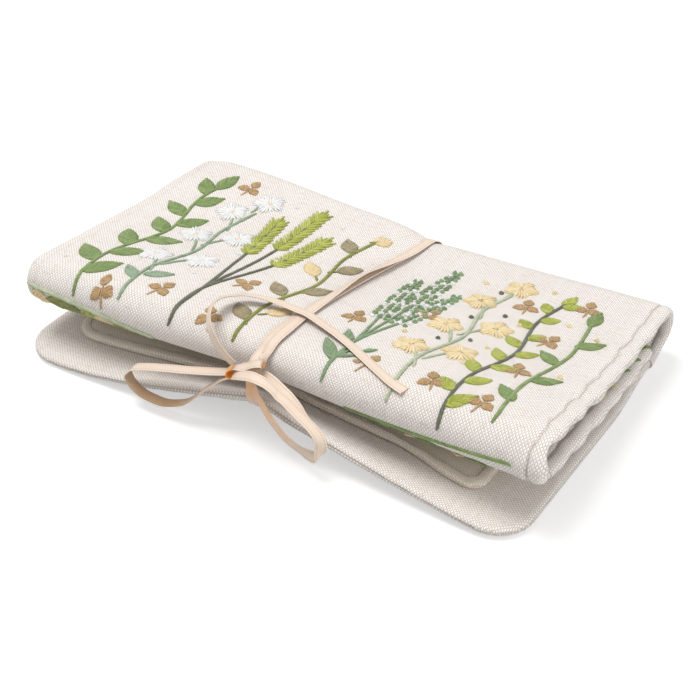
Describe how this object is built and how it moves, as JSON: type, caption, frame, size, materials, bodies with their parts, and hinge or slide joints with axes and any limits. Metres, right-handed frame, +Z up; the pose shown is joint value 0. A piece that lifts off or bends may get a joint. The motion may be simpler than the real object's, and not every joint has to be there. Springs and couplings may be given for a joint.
{
  "type": "needle book",
  "caption": "Padded linen needle book, rolled shut round a page and a felt leaf and tied with a narrow ribbon; it opens flat on its soft spine.",
  "frame": {"origin": "middle of the closed book's box, on the table", "axes": "+X along the book, -Y to the loose front edge, +Y to the spine, +Z up"},
  "size_m": [0.2, 0.1305, 0.0413],
  "materials": {
    "linen_outer": "coarse natural linen, off-white with grey-beige threads",
    "linen_lining": "coarse natural linen, a little darker",
    "linen_page": "coarse natural linen, topstitched",
    "linen_binding": "puffy linen binding",
    "batting": "cotton batting",
    "felt": "wool felt",
    "ribbon": "narrow peach ribbon with a soft sheen"
  },
  "bodies": {
    "back_cover": {"back_cover_outer": "linen_outer", "back_cover_batting": "batting", "back_cover_lining": "linen_lining"},
    "spine": {"spine_outer": "linen_outer", "spine_batting": "batting", "spine_lining": "linen_lining", "spine_binding_left": "linen_binding", "spine_binding_right": "linen_binding"},
    "front_cover": {"front_cover_outer": "linen_outer", "front_cover_batting": "batting", "front_cover_lining": "linen_lining", "front_binding_left": "linen_binding", "front_binding_right": "linen_binding"},
    "inner_flap": {"inner_flap_outer": "linen_outer", "inner_flap_batting": "batting", "inner_flap_lining": "linen_lining", "inner_binding_left": "linen_binding", "inner_binding_right": "linen_binding"},
    "page": {"page_outer": "linen_page", "page_batting": "batting", "page_lining": "linen_page"},
    "felt_leaf": {"needle_felt": "felt"},
    "ribbon": {"ribbon_wrap": "ribbon", "ribbon_second_strand": "ribbon", "ribbon_knot": "ribbon", "bow_loop_left": "ribbon", "bow_loop_right": "ribbon", "ribbon_tail_long": "ribbon", "ribbon_tail_short": "ribbon"}
  },
  "joints": [
    {"name": "spine_open", "type": "hinge", "parent": "back_cover", "child": "spine", "pos_m": [0, 0.05971, 0.0028], "axis": [-1, 0, 0], "range_deg": [0, 87], "deforming": ["ribbon_wrap", "ribbon_second_strand", "ribbon_knot", "bow_loop_left", "bow_loop_right", "ribbon_tail_long", "ribbon_tail_short"]},
    {"name": "cover_open", "type": "hinge", "parent": "spine", "child": "front_cover", "pos_m": [0, 0.05971, 0.0232], "axis": [-1, 0, 0], "range_deg": [0, 87]},
    {"name": "inner_flap_open", "type": "hinge", "parent": "front_cover", "child": "inner_flap", "pos_m": [0, -0.0455, 0.0175], "axis": [-1, 0, 0], "range_deg": [0, 26.1]},
    {"name": "page_turn", "type": "hinge", "parent": "back_cover", "child": "page", "pos_m": [0, 0.0445, 0.0055], "axis": [-1, 0, 0], "range_deg": [0, 58]},
    {"name": "felt_turn", "type": "hinge", "parent": "back_cover", "child": "felt_leaf", "pos_m": [0, 0.0465, 0.008], "axis": [-1, 0, 0], "range_deg": [0, 116]},
    {"name": "ribbon_slide", "type": "slide", "parent": "back_cover", "child": "ribbon", "axis": [1, 0, 0], "range_m": [0, 0.115], "deforming": ["ribbon_wrap", "ribbon_second_strand", "ribbon_knot", "bow_loop_left", "bow_loop_right", "ribbon_tail_long", "ribbon_tail_short"]}
  ],
  "couplings": [
    {"joint": "cover_open", "follows": "spine_open", "ratio": 1},
    {"joint": "inner_flap_open", "follows": "spine_open", "ratio": 0.3},
    {"joint": "page_turn", "follows": "spine_open", "ratio": 0.66},
    {"joint": "felt_turn", "follows": "spine_open", "ratio": 1.33}
  ]
}
